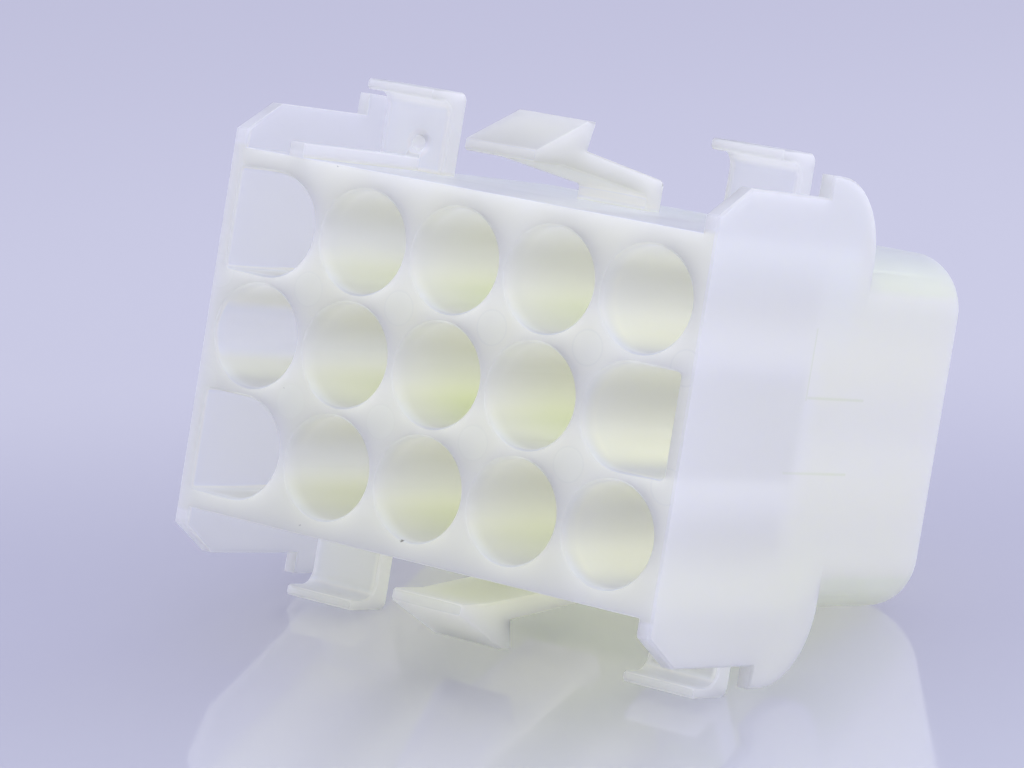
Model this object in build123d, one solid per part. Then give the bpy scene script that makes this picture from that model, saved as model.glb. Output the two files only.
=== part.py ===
from build123d import *
import math
import os

# Cap housing of a panel-mounted power connector, moulded in one piece of natural nylon.
# It is drawn square to its own axes, in millimetres: the columns of contacts run along X,
# the rows along Z, the mating face lies at y = 0 and the wires leave towards +Y.
# At the end it is tipped back, as the empty housing rests on its lower ears and rear edge.

# Contact grid
PITCH = 6.35
COLUMNS = 5
ROWS = 3

# Wells of the mating face, which take the silos of the mating plug
WELL_RADIUS = 2.9
WELL_DEPTH = 12.0
KEY_CORNER_RADIUS = 0.3

# Contact cavities, from the floor of each well to the wire side: the floor is the shoulder
# that the tangs of a contact lock in front of
CAVITY_RADIUS = 2.0
CAVITY_LEAD_IN = 0.3

# Block
END_WALL = 0.79
SIDE_WALL = 1.075
BLOCK_DEPTH = 27.45
SHOULDER = 15.83
REAR_CORNER_RADIUS = 3.3
REAR_EDGE_RADIUS = 0.6

# Where the mounting panel lies between the latches and the ears
PANEL_SEAT = 10.92

# End plates, which stand out above and below the block
PLATE_THICKNESS = 0.9
PLATE_REACH = 2.66
CHAMFER_RISE = 1.67
CHAMFER_RUN = 2.86
STOP_REACH = 3.91
STOP_LAND = 1.13
STOP_ARC_RADIUS = 4.7

# Spring ears, two above and two below
EAR_OFFSET = 11.92
EAR_WIDTH = 4.76
EAR_REACH = 4.87
EAR_WEB = 1.27
EAR_LIP_LENGTH = 2.2
EAR_LIP_THICKNESS = 0.63
EAR_INNER_RADIUS = 0.95
EAR_OUTER_RADIUS = 0.5

# Small hole through the web of the upper left ear
HOLE_RADIUS = 0.47
HOLE_SHIFT = 0.34
HOLE_HEIGHT = 1.6

# Guide rib in front of the upper left ear
RIB_WIDTH = 1.15
RIB_HEIGHT = 0.8
RIB_START = 0.1

# Panel latches, one above and one below: a ramp on a thin arm that points forwards
LATCH_WIDTH = 4.83
LATCH_TIP = 2.55
TIP_THICKNESS = 0.68
TIP_CLEARANCE = 1.97
TIP_LENGTH = 2.69
RIDGE = 7.16
RIDGE_REACH = 4.6
RIDGE_LAND = 0.87
STOP_UNDERCUT = 0.44
STOP_HEIGHT = 1.65
ARM_REACH = 1.79
ROOT_THICKNESS = 1.55
ROOT_REACH = 0.84
ROOT_RADIUS = 0.35

# Trim of small corners and rims, and how deep a foot is buried in the block
CORNER_RADIUS = 0.2
RIM_CHAMFER = 0.12
FOOT = 0.5

half_span_x = (COLUMNS - 1) / 2 * PITCH
half_span_z = (ROWS - 1) / 2 * PITCH
half_width = half_span_x + WELL_RADIUS + END_WALL
half_height = half_span_z + WELL_RADIUS + SIDE_WALL
plate_back = PANEL_SEAT + STOP_LAND + STOP_ARC_RADIUS
ear_back = PANEL_SEAT + EAR_WEB
ear_top = half_height + EAR_REACH


def outline(corners):
    """Close a line through corners given as y, z and the radius that rounds them."""
    points = [(y, z) for y, z, radius in corners]
    radii = [radius for y, z, radius in corners]
    return FilletPolyline(*points, radius=radii, close=True)


def prism(profile, x_middle, width):
    """Extrude a closed line of the Y-Z plane along X and trim the rims of its two ends."""
    start = Plane((x_middle - width / 2, 0, 0), x_dir=(0, 1, 0), z_dir=(1, 0, 0))
    solid = extrude(start * make_face(profile), width)
    ends = solid.faces().filter_by(Axis.X)
    return chamfer(ends.edges(), RIM_CHAMFER)


def bore(x, z, radius, y_from, y_to):
    start = Plane((x, y_from, z), x_dir=(1, 0, 0), z_dir=(0, 1, 0))
    return extrude(start * Circle(radius), y_to - y_from)


def upside_down(solid):
    return mirror(solid, about=Plane.XY)


# Block: square in front, where the end plates close it, and rounded behind them
def make_block():
    front_width = 2 * half_width - PLATE_THICKNESS
    front = Pos(0, SHOULDER / 2, 0) * Box(front_width, SHOULDER, 2 * half_height)
    lips = front.edges().filter_by(Axis.X).group_by(Axis.Y)[0]
    front = chamfer(lips, RIM_CHAMFER)

    section = RectangleRounded(2 * half_width, 2 * half_height, REAR_CORNER_RADIUS)
    start = Plane((0, SHOULDER / 2, 0), x_dir=(1, 0, 0), z_dir=(0, 1, 0))
    rear = extrude(start * section, BLOCK_DEPTH - SHOULDER / 2)
    rim = rear.faces().sort_by(Axis.Y)[-1].edges()
    return front + fillet(rim, REAR_EDGE_RADIUS)


# End plate: the end wall of the block, with a chamfered nose, a stop for the panel
# and a quarter round above and below
def make_plate(side):
    top = half_height + PLATE_REACH
    stop_top = half_height + STOP_REACH
    upper = [
        (0, top - CHAMFER_RISE, 0),
        (CHAMFER_RUN, top, 0),
        (PANEL_SEAT, top, 0),
        (PANEL_SEAT, stop_top, 0),
        (plate_back, stop_top, STOP_ARC_RADIUS),
    ]
    lower = [(y, -z, radius) for y, z, radius in reversed(upper)]
    middle = side * (half_width - PLATE_THICKNESS / 2)
    return prism(outline(upper + lower), middle, PLATE_THICKNESS)


# Spring ear: a web that bends at its foot, with a lip that presses on the panel
def make_ear(side):
    foot = half_height - FOOT
    lip_bottom = ear_top - EAR_LIP_THICKNESS
    lip_front = PANEL_SEAT - EAR_LIP_LENGTH
    profile = outline([
        (PANEL_SEAT, foot, 0),
        (PANEL_SEAT, lip_bottom, EAR_INNER_RADIUS),
        (lip_front, lip_bottom, CORNER_RADIUS),
        (lip_front, ear_top, CORNER_RADIUS),
        (ear_back, ear_top, EAR_OUTER_RADIUS),
        (ear_back, foot, 0),
    ])
    return prism(profile, side * EAR_OFFSET, EAR_WIDTH)


# Guide rib: it runs over the top of the block to the web of the upper left ear
def make_rib():
    foot = half_height - FOOT
    top = half_height + RIB_HEIGHT
    back = PANEL_SEAT + EAR_WEB / 2
    profile = outline([
        (RIB_START, foot, 0),
        (RIB_START, top, 0),
        (back, top, 0),
        (back, foot, 0),
    ])
    return prism(profile, -EAR_OFFSET, RIB_WIDTH)


# Panel latch: it snaps in behind the panel with the undercut face behind its ridge
def make_latch():
    foot = half_height - FOOT
    tip_bottom = half_height + TIP_CLEARANCE
    ridge_top = half_height + RIDGE_REACH
    land_end = RIDGE + RIDGE_LAND
    arm_top = half_height + ARM_REACH
    root_front = SHOULDER - ROOT_THICKNESS
    profile = outline([
        (root_front, foot, 0),
        (root_front, half_height + ROOT_REACH, ROOT_RADIUS),
        (LATCH_TIP + TIP_LENGTH, tip_bottom, 0),
        (LATCH_TIP, tip_bottom, CORNER_RADIUS),
        (LATCH_TIP, tip_bottom + TIP_THICKNESS, CORNER_RADIUS),
        (RIDGE, ridge_top, CORNER_RADIUS),
        (land_end, ridge_top, 0),
        (land_end - STOP_UNDERCUT, ridge_top - STOP_HEIGHT, 0),
        (SHOULDER, arm_top, ROOT_RADIUS),
        (SHOULDER, foot, 0),
    ])
    return prism(profile, 0, LATCH_WIDTH)


def column_x(column):
    return column * PITCH - half_span_x


def row_z(row):
    return half_span_z - row * PITCH


# Wells: round, apart from the three keyed ones, whose outer half is squared
def key_side(column, row):
    if column == 0 and row in (0, ROWS - 1):
        return -1
    if column == COLUMNS - 1 and 0 < row < ROWS - 1:
        return 1
    return 0


def make_well(column, row):
    section = Circle(WELL_RADIUS)
    side = key_side(column, row)
    if side:
        square = Rectangle(WELL_RADIUS, 2 * WELL_RADIUS)
        corners = square.vertices().group_by(Axis.X)[-1]
        square = fillet(corners, KEY_CORNER_RADIUS)
        square = Pos(WELL_RADIUS / 2, 0) * square
        if side < 0:
            square = mirror(square, about=Plane.YZ)
        section = section + square
    start = Plane((column_x(column), 0, row_z(row)), x_dir=(1, 0, 0), z_dir=(0, 1, 0))
    return extrude(start * section, WELL_DEPTH)


def make_cavity(column, row):
    return bore(column_x(column), row_z(row), CAVITY_RADIUS, WELL_DEPTH, BLOCK_DEPTH)


def make_housing():
    housing = make_block()
    for side in (-1, 1):
        housing += make_plate(side)
        ear = make_ear(side)
        housing += ear
        housing += upside_down(ear)
    housing += make_rib()
    latch = make_latch()
    housing += latch
    housing += upside_down(latch)

    cells = [(column, row) for column in range(COLUMNS) for row in range(ROWS)]
    housing -= [make_well(column, row) for column, row in cells]
    mouths = housing.faces().filter_by(Axis.Y).sort_by(Axis.Y)[0].inner_wires()
    housing = chamfer([edge for mouth in mouths for edge in mouth.edges()], RIM_CHAMFER)

    housing -= [make_cavity(column, row) for column, row in cells]
    exits = housing.faces().filter_by(Axis.Y).sort_by(Axis.Y)[-1].inner_wires()
    housing = chamfer([edge for way_out in exits for edge in way_out.edges()], CAVITY_LEAD_IN)

    hole_x = HOLE_SHIFT - EAR_OFFSET
    hole_z = half_height + HOLE_HEIGHT
    housing -= bore(hole_x, hole_z, HOLE_RADIUS, PANEL_SEAT - EAR_WEB, ear_back + EAR_WEB)
    return housing


# Resting pose: the line that touches the rounded corner of the lower ears
# and the rounded lower rear edge lies on the table
def rest_angle():
    ear = (ear_back - EAR_OUTER_RADIUS, ear_top - EAR_OUTER_RADIUS)
    heel = (BLOCK_DEPTH - REAR_EDGE_RADIUS, half_height - REAR_EDGE_RADIUS)
    run = heel[0] - ear[0]
    drop = ear[1] - heel[1]
    slope = math.atan2(drop, run)
    correction = math.asin((EAR_OUTER_RADIUS - REAR_EDGE_RADIUS) / math.hypot(run, drop))
    return math.degrees(slope + correction)


def stand(housing):
    """Tip the housing back, then set its origin at the middle of its footprint."""
    tipped = Rot(-rest_angle(), 0, 0) * housing
    box = tipped.bounding_box()
    return Pos(-box.center().X, -box.center().Y, -box.min.Z) * tipped


os.makedirs("parts", exist_ok=True)
housing = stand(make_housing())
housing.label = "housing"
export_step(housing, "parts/housing.step")
size = housing.bounding_box().size
print(f"rest angle {rest_angle():.2f}, size {size.X:.2f} x {size.Y:.2f} x {size.Z:.2f}")
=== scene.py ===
import bpy
import bmesh
import math
import random
from types import SimpleNamespace
from mathutils import Matrix, Vector


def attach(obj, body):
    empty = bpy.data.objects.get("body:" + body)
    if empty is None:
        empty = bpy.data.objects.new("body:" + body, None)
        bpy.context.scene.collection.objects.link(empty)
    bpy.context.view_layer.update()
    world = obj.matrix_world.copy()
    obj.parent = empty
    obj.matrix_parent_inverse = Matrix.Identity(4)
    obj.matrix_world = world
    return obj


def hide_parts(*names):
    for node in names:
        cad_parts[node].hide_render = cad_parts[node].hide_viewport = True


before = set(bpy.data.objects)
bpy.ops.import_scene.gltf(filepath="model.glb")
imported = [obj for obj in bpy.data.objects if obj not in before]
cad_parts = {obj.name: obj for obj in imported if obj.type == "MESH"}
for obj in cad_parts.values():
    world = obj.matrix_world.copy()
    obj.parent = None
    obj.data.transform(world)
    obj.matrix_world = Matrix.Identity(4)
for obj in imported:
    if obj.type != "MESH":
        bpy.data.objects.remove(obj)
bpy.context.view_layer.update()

MM = 0.001

# The housing's own axes: columns along X, the mating face at y = 0, rows along Z.
# In the row it is tipped back, so these place the own axes in the row's frame.
TIP = math.radians(17.792)
OWN_ORIGIN = Vector((0, -12.840, 18.064)) * MM
OWN_TO_ROW = Matrix.Translation(OWN_ORIGIN) @ Matrix.Rotation(-TIP, 4, "X")
OWN_RIGHT = OWN_TO_ROW.to_3x3() @ Vector((1, 0, 0)) / MM
OWN_UP = OWN_TO_ROW.to_3x3() @ Vector((0, 0, 1)) / MM

# Sizes of the housing along its own axes, in millimetres
PITCH = 6.35
HALF_WIDTH = 16.39
HALF_HEIGHT = 10.325
PLATE_INSIDE = HALF_WIDTH - 1.4
EAR_OFFSET = 11.92
EAR_HALF_WIDTH = 2.38
LIP_BOTTOM = 14.565
HOLE_CENTRE = (-11.58, 0, 11.925)

# Upper right edge of the upper latch's arm, and the burr along it
ARM_EDGE = 2.415
ARM_FRONT = 8.2
ARM_BACK = 15.9
ARM_LOWEST = HALF_HEIGHT + 1.2
ARM_SHORTEST_EDGE = 5
BURR_CUTS = 70
BURR_HEIGHT = 0.11

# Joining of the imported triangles, and the bend from which an edge is drawn sharp
JOIN_DISTANCE = 0.002 * MM
FLAT_ANGLE = math.radians(0.6)
SHARP_ANGLE = math.radians(33)

# Milky nylon: ordinary walls, in duller and clearer patches
MILKY_DULL = (0.85, 0.85, 0.62, 1)
MILKY_CLEAR = (0.87, 0.87, 0.68, 1)

# Walls that look different: at the lower left (painted shade), behind the panel, on top (painted shade),
# hanging below (painted shade), on rims (painted light), on the upper latch, on the end plates, and where the
# wall is thin (partly painted light that shows through)
FOOT_SHADE = (0.71, 0.72, 0.61, 1)
MILKY_REAR = (0.86, 0.92, 0.73, 1)
TOP_SHADE = (0.67, 0.70, 0.68, 1)
LOW_SHADE = (0.72, 0.74, 0.64, 1)
LIT_RIM = (0.97, 0.975, 0.88, 1)
MILKY_LATCH = (0.95, 0.96, 0.60, 1)
MILKY_END = (0.91, 0.92, 0.78, 1)
MILKY_BELLY = (1, 1, 0.92, 1)
THIN_TONE_AND_BACKLIGHT = (0.88, 0.95, 1.0, 1)
BRIGHT_EDGE = (1, 1, 0.95, 1)

# Walls of the wells, with painted shade at the lower left, and deep inside the block too
MILKY_WELL = (0.79, 0.81, 0.61, 1)
WELL_FOOT_SHADE = (0.66, 0.67, 0.54, 1)
MILKY_DEEP = (0.62, 0.71, 0.38, 1)
# Painted shade on the lower walls of the wells, painted light on their upper walls, and the painted glow of
# light coming in through the right end wall
WELL_FLOOR_SHADE = (0.42, 0.43, 0.50, 1)
WELL_ROOF_LIGHT = (1, 1, 0.78, 1)
WELL_GLOW = (0.98, 0.98, 0.65, 1)

# Tint that light takes on as it passes a wall, inside the block and at its thin parts,
# how many walls scattered light passes, and what the eye sees through the thin parts
TINT_INSIDE = (0.995, 0.995, 0.91, 1)
TINT_THIN = (0.985, 0.99, 1.0, 1)
WALLS_PASSED = 5
CLEAR_NYLON = (0.97, 0.98, 1.0, 1)

# How far light spreads inside the nylon, less under the end walls and behind the wells
FAR_SPREAD = 12 * MM
NEAR_SPREAD = 4 * MM

# Specks of burnt resin as place, radius and darkness
BURNT_RESIN = (0.03, 0.025, 0.02, 1)
SPECKS = (
    ((-0.46, 0, -9.26), 0.12, 0.85),
    ((-8.84, 0, 10.23), 0.07, 0.5),
    ((-10.12, 0, -2.52), 0.06, 0.3),
    ((-7.51, 0, -9.81), 0.07, 0.3),
    ((ARM_EDGE, 15.7, 12.05), 0.22, 0.9),
)

# Faint lines on the end wall where a well ends and a cavity passes inside, from point to point
INNER_LINES = (
    ((HALF_WIDTH, 11.8, 1.9), (HALF_WIDTH, 11.8, 5.8)),
    ((HALF_WIDTH, 12.0, 2.0), (HALF_WIDTH, 17.9, 2.0)),
    ((HALF_WIDTH, 10.7, -2.2), (HALF_WIDTH, 17.3, -2.2)),
)

# Acrylic sheet: in front, under the housing (painted shadow), behind it and far behind, going backwards
SHEET_FRONT = (0.68, 0.695, 0.775, 1)
SHEET_SHADOW = (0.58, 0.575, 0.685, 1)
SHEET_BEHIND = (0.725, 0.72, 0.79, 1)
SHEET_FAR = (0.655, 0.645, 0.725, 1)
BACKWARDS = (-0.598, 0.802, 0)
FLOOR_HALF_WIDTH = 2.0

AIR_WHITE = (0.85, 0.865, 1.03, 1)
AIR_LILAC = (0.33, 0.33, 0.49, 1)

# Soft lamps as name, place, size, power and colour, all turned to the housing
LAMP_AIM = Vector((0, 0, 0.015))
LAMPS = (
    ("top_light", (0.05, 0.10, 0.55), (0.6, 0.5), 0.12, (1.0, 1.0, 1.0)),
    ("side_light", (0.5, -0.1, 0.3), (0.4, 0.4), 0.3, (0.99, 1.0, 1.0)),
    ("back_light", (0.12, 0.55, 0.45), (0.35, 0.35), 0.7, (0.95, 0.98, 1.0)),
)

# Camera along the housing's own axes
CAMERA_PLACE = Vector((143.74, -201.91, 19.06))
CAMERA_RIGHT = Vector((0.80667, 0.56877, 0.16060))
CAMERA_LOOK = Vector((-0.56445, 0.82197, -0.07592))
CAMERA_LENS = 160.1


class Shading:
    """Adds nodes to a tree and links what it is given."""

    def __init__(self, tree):
        self.tree = tree

    def node(self, kind, inputs=None, **settings):
        made = self.tree.nodes.new(kind)
        for name, value in settings.items():
            setattr(made, name, value)
        for key, value in (inputs or {}).items():
            self.feed(made.inputs[key], value)
        return made

    def feed(self, socket, value):
        if isinstance(value, bpy.types.NodeSocket):
            self.tree.links.new(value, socket)
        else:
            socket.default_value = value

    def math(self, operation, first, second=0.0):
        return self.node("ShaderNodeMath", {0: first, 1: second}, operation=operation).outputs[0]

    def times(self, first, *others):
        for other in others:
            first = self.math("MULTIPLY", first, other)
        return first

    def most(self, first, *others):
        for other in others:
            first = self.math("MAXIMUM", first, other)
        return first

    def except_for(self, value):
        return self.math("SUBTRACT", 1.0, value)

    def vector(self, operation, first, second=None, output="Vector"):
        inputs = {0: first} if second is None else {0: first, 1: second}
        return self.node("ShaderNodeVectorMath", inputs, operation=operation).outputs[output]

    def distance(self, first, second):
        return self.vector("DISTANCE", first, second, "Value")

    def split(self, vector):
        return self.node("ShaderNodeSeparateXYZ", {0: vector}).outputs

    def upright(self, x, z):
        """Point in the plane of the mating face."""
        return self.node("ShaderNodeCombineXYZ", {0: x, 2: z}).outputs[0]

    def rise(self, value, low, high, start=0.0, end=1.0):
        """Smooth step from start to end while value goes from low to high."""
        return self.node("ShaderNodeMapRange", {
            "Value": value, "From Min": low, "From Max": high, "To Min": start, "To Max": end,
        }, interpolation_type="SMOOTHSTEP").outputs["Result"]

    def fall(self, value, low, high, start=1.0, end=0.0):
        return self.rise(value, low, high, start, end)

    def noise(self, vector, scale, detail, roughness=0.5):
        """Soft random patches around 0.5."""
        return self.node("ShaderNodeTexNoise", {
            "Vector": vector, "Scale": scale, "Detail": detail, "Roughness": roughness,
        }).outputs["Fac"]

    def mix(self, factor, first, second):
        return self.node("ShaderNodeMix", {0: factor, 6: first, 7: second}, data_type="RGBA").outputs[2]

    def blend(self, factor, first, second):
        return self.node("ShaderNodeMixShader", {0: factor, 1: first, 2: second}).outputs[0]

    def clear(self, colour):
        return self.node("ShaderNodeBsdfTransparent", {"Color": colour}).outputs[0]


def new_material(name):
    made = bpy.data.materials.new(name)
    made.use_nodes = True
    made.node_tree.nodes.clear()
    return made, Shading(made.node_tree)


def finish_surface(s, surface):
    s.feed(s.node("ShaderNodeOutputMaterial").inputs["Surface"], surface)


# Where a point of the surface lies along the housing's own axes, in millimetres
def locate(s):
    point = s.node("ShaderNodeMapping", {
        "Vector": s.node("ShaderNodeTexCoord").outputs["Object"],
        "Location": OWN_ORIGIN, "Rotation": (-TIP, 0, 0), "Scale": (MM, MM, MM),
    }, vector_type="TEXTURE").outputs["Vector"]
    x, y, z = s.split(point)
    return SimpleNamespace(
        point=point, x=x, y=y, z=z,
        aside=s.math("ABSOLUTE", x), aloft=s.math("ABSOLUTE", z),
    )


# Which way the surface faces along the housing's own axes
def find_facing(s):
    normal = s.node("ShaderNodeMapping", {
        "Vector": s.node("ShaderNodeTexCoord").outputs["Normal"], "Rotation": (TIP, 0, 0),
    }, vector_type="NORMAL").outputs["Vector"]
    right, _, up = s.split(normal)
    along_x, along_y, along_z = s.split(s.vector("ABSOLUTE", normal))
    return SimpleNamespace(
        right=right, up=up,
        sideways=s.rise(along_x, 0.7, 0.95), lengthways=s.rise(along_y, 0.7, 0.95),
        slanted=s.fall(s.most(along_x, along_y, along_z), 0.8, 0.97),
    )


# Which part of the moulding the surface belongs to, each as a mask
def find_parts(s, at, facing):
    end_plate = s.rise(at.aside, PLATE_INSIDE, HALF_WIDTH - 1.0)
    outer_end = s.times(facing.sideways, s.rise(at.aside, HALF_WIDTH - 0.3, HALF_WIDTH - 0.05))

    # Wells: behind the mating face, within the walls of the block and in front of the cavities
    well = s.times(
        s.rise(at.y, 0.1, 1.5), s.fall(at.y, 12.5, 15.0),
        s.fall(at.aside, HALF_WIDTH - 2.5, HALF_WIDTH - 0.6),
        s.fall(at.aloft, HALF_HEIGHT - 0.3, HALF_HEIGHT - 0.1),
    )
    # Core: far from the end walls, the long walls, the mating face and the wire side
    core = s.times(
        s.fall(at.aside, 2.0, 13.0), s.fall(at.aloft, 2.0, 7.0, 1.0, 0.45),
        s.rise(at.y, 0.3, 8.0), s.fall(at.y, 18.0, 27.0, 1.0, 0.35),
        s.fall(at.z, HALF_HEIGHT - 0.4, HALF_HEIGHT - 0.1),
    )
    # Webs of the ears and faces of the latches, which stand out of the block, below the lips
    proud = s.rise(at.aloft, HALF_HEIGHT + 0.02, HALF_HEIGHT + 0.3)
    web = s.times(
        proud, facing.lengthways, s.except_for(end_plate),
        s.fall(at.aloft, LIP_BOTTOM - 0.1, LIP_BOTTOM + 0.05),
    )
    # Inner sides of the end plates and end walls
    inner_wall = s.times(
        s.rise(at.aside, PLATE_INSIDE, HALF_WIDTH - 0.95),
        s.fall(at.aside, HALF_WIDTH - 0.5, HALF_WIDTH - 0.05),
        s.rise(at.y, 0.1, 0.4), s.fall(at.y, 14.0, 15.5), facing.sideways,
    )
    # Both are thin, apart from the side edges of the ears
    across_ear = s.math("ABSOLUTE", s.math("SUBTRACT", at.aside, EAR_OFFSET))
    ear_side = s.rise(across_ear, EAR_HALF_WIDTH - 0.5, EAR_HALF_WIDTH - 0.2)
    thin = s.times(s.most(web, inner_wall), s.except_for(s.times(web, ear_side)))
    return SimpleNamespace(
        end_plate=end_plate, outer_end=outer_end, well=well, core=core,
        web=s.times(web, thin), inner_wall=inner_wall, thin=thin,
        frame_edge=s.times(proud, s.except_for(s.most(thin, outer_end))),
        # Strength of the painted shade, growing towards the lower left
        shade_to_lower_left=s.fall(s.math("ADD", s.times(at.x, 0.5), at.z), -14.0, 10.0),
    )


def paint_walls(s, at, facing, part, clouds):
    milky = s.mix(s.rise(clouds, 0.35, 0.65), MILKY_DULL, MILKY_CLEAR)
    # Painted shade, darker towards the lower left
    milky = s.mix(part.shade_to_lower_left, milky, FOOT_SHADE)
    milky = s.mix(s.rise(at.y, 10.0, 18.0), milky, MILKY_REAR)
    # Painted shade on faces turned upwards
    milky = s.mix(s.rise(facing.up, 0.35, 1.0), milky, TOP_SHADE)
    # Painted light on the rims of what stands out of the block, less on their upward faces
    milky = s.mix(s.times(part.frame_edge, s.fall(facing.up, 0.5, 0.9, 1.0, 0.3)), milky, LIT_RIM)

    above_block = s.rise(at.z, HALF_HEIGHT + 0.02, HALF_HEIGHT + 0.3)
    milky = s.mix(s.times(above_block, s.fall(at.aside, 2.6, 3.0, 0.5)), milky, MILKY_LATCH)

    # End plates and end walls: pale at half height in front, bluer towards the top, partly with painted light
    # that shows through the wall
    milky = s.mix(s.times(part.outer_end, 0.7), milky, MILKY_END)
    belly = s.times(part.outer_end, s.fall(at.aloft, 0.0, 9.0, 0.95, 0.2), s.fall(at.y, 10.0, 14.0, 1.0, 0.4))
    milky = s.mix(belly, milky, MILKY_BELLY)
    end_top = s.times(part.outer_end, s.rise(at.z, 2.0, 11.0, 0.0, 0.5), s.fall(at.y, 14.0, 17.0, 1.0, 0.2))
    # Bluish where the wall is thin: partly the nylon's own tone, partly painted light of the lilac backdrop
    # shining through
    milky = s.mix(s.most(part.thin, end_top), milky, THIN_TONE_AND_BACKLIGHT)

    # Painted shade on the faces of what hangs below the block
    below_block = s.fall(at.z, -HALF_HEIGHT - 0.3, -HALF_HEIGHT - 0.05, 0.9)
    low = s.times(below_block, s.except_for(part.end_plate), facing.lengthways)
    return s.mix(low, milky, LOW_SHADE)


def paint_wells(s, at, facing, part, milky):
    # The walls of the wells, with painted shade towards the lower left
    colour = s.mix(part.well, milky, s.mix(part.shade_to_lower_left, MILKY_WELL, WELL_FOOT_SHADE))
    colour = s.mix(part.core, colour, MILKY_DEEP)

    # Painted light and shade stand in for the scattered light that evens out the walls of the wells: the
    # upper ones paler, the lower ones darker
    floor_shade = s.times(part.well, s.rise(facing.up, 0.0, 1.0), s.rise(at.x, -7.0, 13.0, 0.42, 0.72))
    colour = s.mix(floor_shade, colour, WELL_FLOOR_SHADE)
    roof_light = s.times(part.well, s.fall(facing.up, -1.0, 0.2, 0.98))
    colour = s.mix(roof_light, colour, WELL_ROOF_LIGHT)

    # Light that comes in through the right end wall
    glow = s.times(part.well, s.rise(facing.right, 0.0, 1.0), s.rise(at.x, 3.0, 10.0))
    return s.mix(glow, colour, WELL_GLOW)


# The outer rim of the mating face and the ring around the small hole catch more light
def paint_bright_edges(s, at, facing, part, colour):
    outermost = s.most(
        s.rise(at.aside, HALF_WIDTH - 0.3, HALF_WIDTH - 0.2),
        s.rise(at.aloft, HALF_HEIGHT - 0.3, HALF_HEIGHT - 0.2),
    )
    rim = s.times(facing.slanted, s.fall(at.y, 0.15, 0.2), outermost, 0.5)
    ring = s.times(part.web, s.fall(s.distance(s.upright(at.x, at.z), HOLE_CENTRE), 0.65, 0.95))
    return s.mix(s.most(rim, ring), colour, BRIGHT_EDGE)


# Ejector marks on the mating face: round, midway between the wells, with a faint edge drawn in the colour of
# the wells' painted foot shade
def paint_ejector_marks(s, at, colour):
    def from_middle(value):
        turns = s.math("FRACT", s.math("DIVIDE", value, PITCH))
        return s.times(s.math("SUBTRACT", turns, 0.5), PITCH)

    spot = s.upright(from_middle(at.x), from_middle(at.z))
    reach = s.vector("LENGTH", spot, output="Value")
    mark = s.times(s.fall(reach, 0.96, 1.06), s.fall(at.y, 0.02, 0.06), s.fall(at.aloft, 5.0, 5.4))
    colour = s.mix(s.times(mark, 0.12), colour, MILKY_REAR)
    return s.mix(s.times(mark, s.rise(reach, 0.88, 0.96), 0.2), colour, WELL_FOOT_SHADE)


def paint_inner_lines(s, at, colour):
    lines = 0.0
    for first, last in INNER_LINES:
        nearest = s.vector("MINIMUM", s.vector("MAXIMUM", at.point, first), last)
        lines = s.most(lines, s.fall(s.distance(at.point, nearest), 0.02, 0.12, 0.22))
    return s.mix(lines, colour, MILKY_DEEP)


def paint_specks(s, at, colour):
    ragged = s.times(s.math("SUBTRACT", s.noise(at.point, 6.0, 1.0), 0.5), 0.3)
    shaken = s.vector("ADD", at.point, ragged)
    burnt = 0.0
    for centre, radius, darkness in SPECKS:
        away = s.distance(shaken, centre)
        burnt = s.most(burnt, s.fall(away, 0.6 * radius, 1.2 * radius, darkness))
    return s.mix(burnt, colour, BURNT_RESIN)


def natural_nylon(name):
    """Translucent unpigmented nylon: milky, yellower where it is deep inside the block."""
    material, s = new_material(name)
    at = locate(s)
    facing = find_facing(s)
    part = find_parts(s, at, facing)
    clouds = s.noise(at.point, 0.16, 2.0)

    colour = paint_walls(s, at, facing, part, clouds)
    colour = paint_wells(s, at, facing, part, colour)
    colour = paint_bright_edges(s, at, facing, part, colour)
    colour = paint_ejector_marks(s, at, colour)
    colour = paint_inner_lines(s, at, colour)
    colour = paint_specks(s, at, colour)

    compact = s.most(part.outer_end, s.rise(at.y, 16.0, 19.0))
    nylon = s.node("ShaderNodeBsdfPrincipled", {
        "Base Color": colour,
        "Roughness": s.rise(clouds, 0.3, 0.7, 0.30, 0.42),
        "IOR": 1.5,
        "Specular IOR Level": 0.5,
        "Subsurface Weight": 1.0,
        "Subsurface Radius": (1.0, 1.0, 0.85),
        "Subsurface Scale": s.rise(compact, 0.0, 1.0, FAR_SPREAD, NEAR_SPREAD),
    }, subsurface_method="RANDOM_WALK").outputs[0]

    # The thin parts let the eye through a little
    sheer = s.most(s.times(part.web, s.rise(at.x, -1.0, 1.0, 0.12, 0.32)), s.times(part.inner_wall, 0.28))
    seen = s.blend(sheer, nylon, s.clear(CLEAR_NYLON))

    # Scattered light meets a plain surface, once it has passed the first few walls
    path = s.node("ShaderNodeLightPath").outputs
    plain = s.node("ShaderNodeBsdfDiffuse", {"Color": MILKY_CLEAR}).outputs[0]
    seen = s.blend(path["Is Diffuse Ray"], seen, plain)
    few_walls = s.math("LESS_THAN", path["Transparent Depth"], WALLS_PASSED + 0.5)
    passing = s.most(
        path["Is Shadow Ray"], s.times(path["Is Diffuse Ray"], few_walls),
        s.node("ShaderNodeNewGeometry").outputs["Backfacing"],
    )
    finish_surface(s, s.blend(passing, seen, s.clear(wall_tint(s))))
    return material


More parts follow.
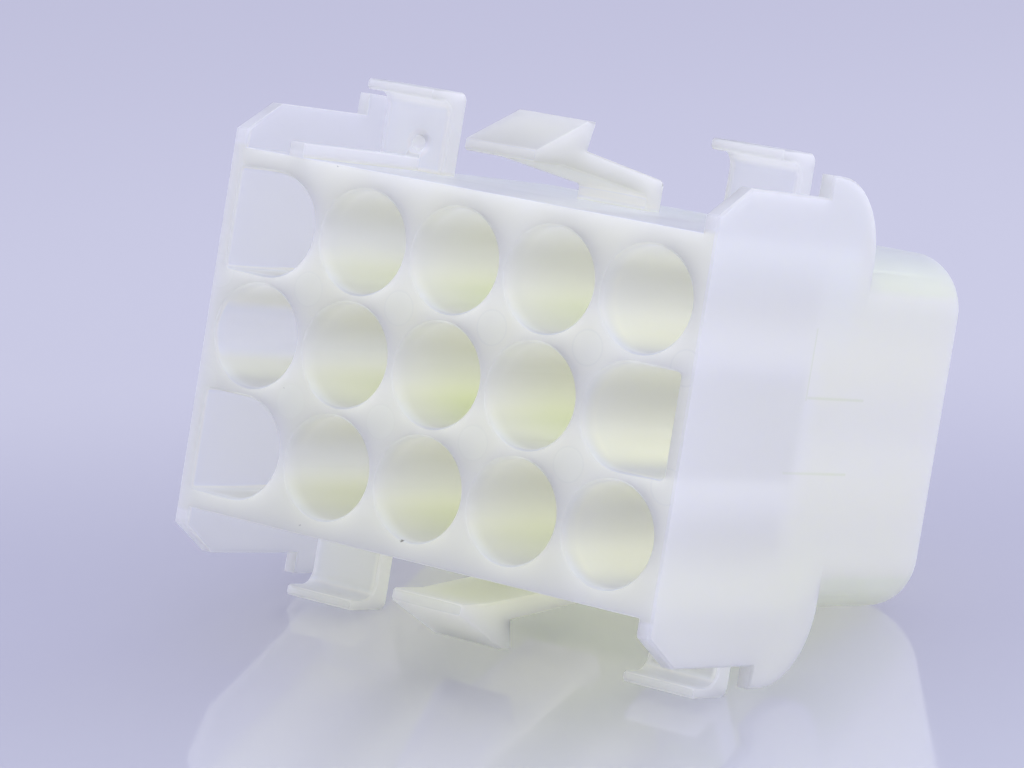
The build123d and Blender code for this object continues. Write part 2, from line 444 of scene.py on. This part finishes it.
# Tint of light that passes a wall, bluish in the end plates and in what stands out of the block.
# It finds its place by itself, because passing light is met most often and needs nothing else.
def wall_tint(s):
    place = s.node("ShaderNodeTexCoord").outputs["Object"]
    aside = s.math("ABSOLUTE", s.vector("DOT_PRODUCT", place, OWN_RIGHT, "Value"))
    height = s.math("SUBTRACT", s.vector("DOT_PRODUCT", place, OWN_UP, "Value"), OWN_UP.dot(OWN_ORIGIN))
    bluish = s.most(
        s.rise(s.math("ABSOLUTE", height), HALF_HEIGHT + 0.02, HALF_HEIGHT + 0.3),
        s.rise(aside, PLATE_INSIDE, HALF_WIDTH - 0.95),
    )
    return s.mix(bluish, TINT_INSIDE, TINT_THIN)


def studio_sheet(name):
    """Smooth lilac acrylic sheet, a little darker where the housing stands, as a painted shadow."""
    material, s = new_material(name)
    place = s.node("ShaderNodeTexCoord").outputs["Object"]
    patches = s.times(s.math("SUBTRACT", s.noise(place, 9.0, 1.0), 0.5), 0.03)
    away = s.math("ADD", s.vector("DOT_PRODUCT", place, BACKWARDS, "Value"), patches)
    # Painted shadow in a band where the housing stands
    colour = s.mix(s.rise(away, -0.04, 0.0), SHEET_FRONT, SHEET_SHADOW)
    colour = s.mix(s.rise(away, 0.005, 0.045), colour, SHEET_BEHIND)
    colour = s.mix(s.rise(away, 0.06, 0.16), colour, SHEET_FAR)
    sheet = s.node("ShaderNodeBsdfPrincipled", {"Base Color": colour, "Roughness": 0.08, "IOR": 3.0})
    finish_surface(s, sheet.outputs[0])
    return material


# Burr: the upper right edge of the upper latch's arm is finely frayed
def fray(form):
    to_own = OWN_TO_ROW.inverted()
    chance = random.Random(5)

    def on_arm(corner):
        own = to_own @ corner.co / MM
        return abs(own.x - ARM_EDGE) < 0.02 and ARM_FRONT < own.y < ARM_BACK and own.z > ARM_LOWEST

    def is_long(edge):
        return edge.calc_length() > ARM_SHORTEST_EDGE * MM

    upper = [edge for edge in form.edges if all(on_arm(corner) for corner in edge.verts) and is_long(edge)]
    cut = bmesh.ops.subdivide_edges(form, edges=upper, cuts=BURR_CUTS)
    for item in cut["geom_inner"]:
        if isinstance(item, bmesh.types.BMVert):
            item.co += OWN_TO_ROW.to_3x3() @ Vector((0, 0, chance.uniform(0, BURR_HEIGHT))) * MM


def place_in_scene(name, data):
    made = bpy.data.objects.new(name, data)
    bpy.context.scene.collection.objects.link(made)
    return made


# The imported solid, with its triangles joined, its flats cleared and its curves shaded smoothly
def make_housing():
    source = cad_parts["housing"]
    mesh = bpy.data.meshes.new("housing_moulding")
    form = bmesh.new()
    form.from_mesh(source.data)
    bmesh.ops.remove_doubles(form, verts=form.verts, dist=JOIN_DISTANCE)
    bmesh.ops.dissolve_limit(form, angle_limit=FLAT_ANGLE, use_dissolve_boundaries=False,
                             verts=form.verts, edges=form.edges)
    fray(form)
    for face in form.faces:
        face.smooth = True
    form.to_mesh(mesh)
    form.free()
    mesh.materials.append(natural_nylon("natural_nylon"))
    mesh.set_sharp_from_angle(angle=SHARP_ANGLE)

    housing = place_in_scene("housing_moulding", mesh)
    weigh = housing.modifiers.new("even_normals", "WEIGHTED_NORMAL")
    weigh.keep_sharp = True
    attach(housing, "root")
    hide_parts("housing")


def make_floor():
    mesh = bpy.data.meshes.new("studio_floor")
    sheet = bmesh.new()
    bmesh.ops.create_grid(sheet, x_segments=1, y_segments=1, size=FLOOR_HALF_WIDTH)
    sheet.to_mesh(mesh)
    sheet.free()
    mesh.materials.append(studio_sheet("studio_sheet"))
    place_in_scene("studio_floor", mesh)


def make_lamp(name, place, size, power, colour):
    light = bpy.data.lights.new(name, "AREA")
    light.shape = "RECTANGLE"
    light.size, light.size_y = size
    light.energy = power
    light.color = colour
    lamp = place_in_scene(name, light)
    lamp.location = place
    lamp.rotation_euler = (LAMP_AIM - Vector(place)).to_track_quat("-Z", "Y").to_euler()


def make_camera():
    data = bpy.data.cameras.new("camera")
    data.sensor_width = 36
    data.sensor_fit = "HORIZONTAL"
    data.lens = CAMERA_LENS
    data.clip_start = 0.01
    data.clip_end = 10
    camera = place_in_scene("camera", data)
    look = CAMERA_LOOK.normalized()
    right = (CAMERA_RIGHT - look * CAMERA_RIGHT.dot(look)).normalized()
    turn = OWN_TO_ROW.to_3x3() @ Matrix((right, right.cross(look), -look)).transposed()
    camera.rotation_euler = turn.to_euler()
    camera.location = OWN_TO_ROW @ (CAMERA_PLACE * MM)
    bpy.context.scene.camera = camera


# White air for the light, lilac where the eye or a reflection meets it
def make_air():
    world = bpy.data.worlds.new("studio_air")
    bpy.context.scene.world = world
    world.use_nodes = True
    world.node_tree.nodes.clear()
    s = Shading(world.node_tree)
    path = s.node("ShaderNodeLightPath").outputs
    seen = s.most(path["Is Camera Ray"], path["Is Glossy Ray"])
    air = s.node("ShaderNodeBackground", {"Color": s.mix(seen, AIR_WHITE, AIR_LILAC)})
    s.feed(s.node("ShaderNodeOutputWorld").inputs["Surface"], air.outputs[0])


make_housing()
make_floor()
make_camera()
for lamp in LAMPS:
    make_lamp(*lamp)
make_air()

bpy.context.scene.view_settings.view_transform = "Standard"
